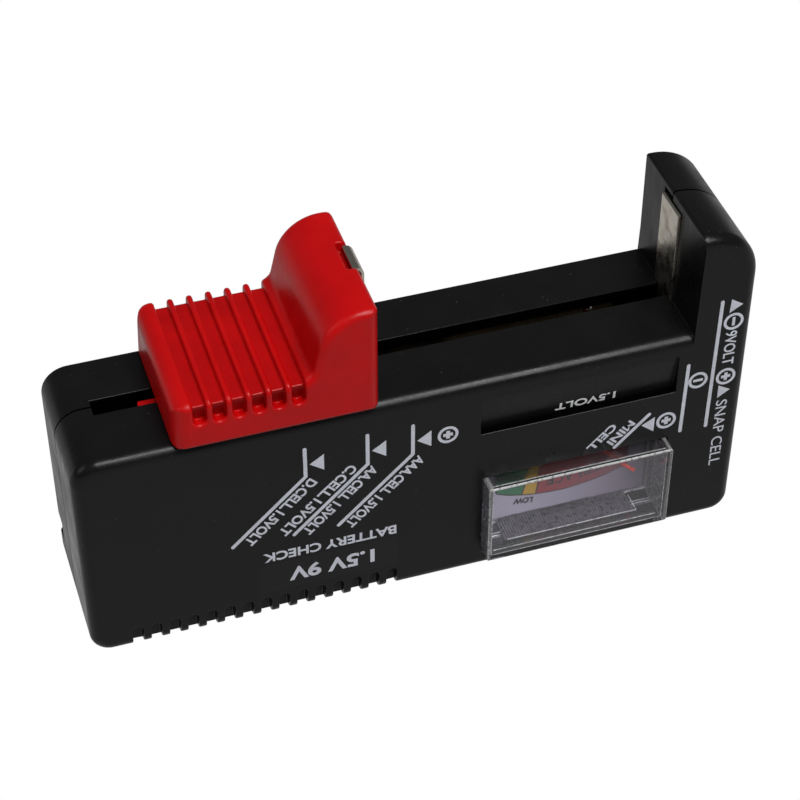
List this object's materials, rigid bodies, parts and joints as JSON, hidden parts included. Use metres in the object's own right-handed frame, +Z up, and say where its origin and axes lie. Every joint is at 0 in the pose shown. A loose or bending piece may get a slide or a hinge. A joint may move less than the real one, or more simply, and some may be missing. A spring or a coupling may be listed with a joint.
{
  "type": "battery tester",
  "caption": "Hand-held battery tester: black housing with an upright arm, a red sliding contact block, snap battery pads and a small moving-coil meter in a clear window.",
  "frame": {"origin": "middle of the base, the long narrow face that it stands on", "axes": "+X along the housing towards the upright arm, +Y from the meter side to the back, +Z up"},
  "size_m": [0.11, 0.0279, 0.0608],
  "materials": {
    "housing": "fine satin moulded surface",
    "slider_red": "semi-gloss moulded surface",
    "nickel": "nickel plated, satin",
    "brass": "plain rolled strip",
    "clear": "clear polished plastic",
    "case_grey": "moulded",
    "dial_paper": "printed card",
    "iron": "machined",
    "magnet": "sintered",
    "jewel": "polished",
    "aluminium": "thin sheet",
    "copper": "enamelled copper wire",
    "steel": "plated steel",
    "needle_orange": "flat paint",
    "board": "paper phenolic sheet",
    "resistor_tan": "lacquered",
    "resistor_blue": "lacquered",
    "wire_red": "flexible sleeve",
    "wire_black": "flexible sleeve",
    "wire_yellow": "flexible sleeve",
    "wire_blue": "flexible sleeve"
  },
  "bodies": {
    "housing": {"front_shell": "housing", "back_shell": "housing", "case_screws": "steel", "contact_rail": "brass", "fixed_contact": "nickel", "nine_volt_positive": "nickel", "nine_volt_negative": "nickel", "meter_window": "clear", "meter_case": "case_grey", "meter_dial": "dial_paper", "meter_terminals": "brass", "yoke_ring": "iron", "core_magnet": "magnet", "core_spacers": "brass", "bearing_bridge": "brass", "jewel_bearings": "jewel", "hairspring_front": "brass", "hairspring_rear": "brass", "circuit_board": "board", "load_resistor": "resistor_tan", "series_resistors": "resistor_blue", "wire_rail": "wire_red", "wire_common": "wire_black", "wire_nine_volt_positive": "wire_red", "wire_nine_volt_negative": "wire_black", "wire_meter_positive": "wire_yellow", "wire_meter_negative": "wire_blue"},
    "slider": {"slider": "slider_red", "slider_contact": "nickel"},
    "meter_movement": {"coil_frame": "aluminium", "coil_winding": "copper", "pivot_staffs": "steel", "needle": "needle_orange"}
  },
  "joints": [
    {"name": "slider_travel", "type": "slide", "parent": "housing", "child": "slider", "axis": [1, 0, 0], "range_m": [-0.0065, 0.05]},
    {"name": "needle_swing", "type": "hinge", "parent": "housing", "child": "meter_movement", "pos_m": [0.02625, 0, 0.022], "axis": [0, 1, 0], "range_deg": [0, 92], "stiffness_Nm_per_rad": 0.00002, "springref_deg": -5.73}
  ]
}
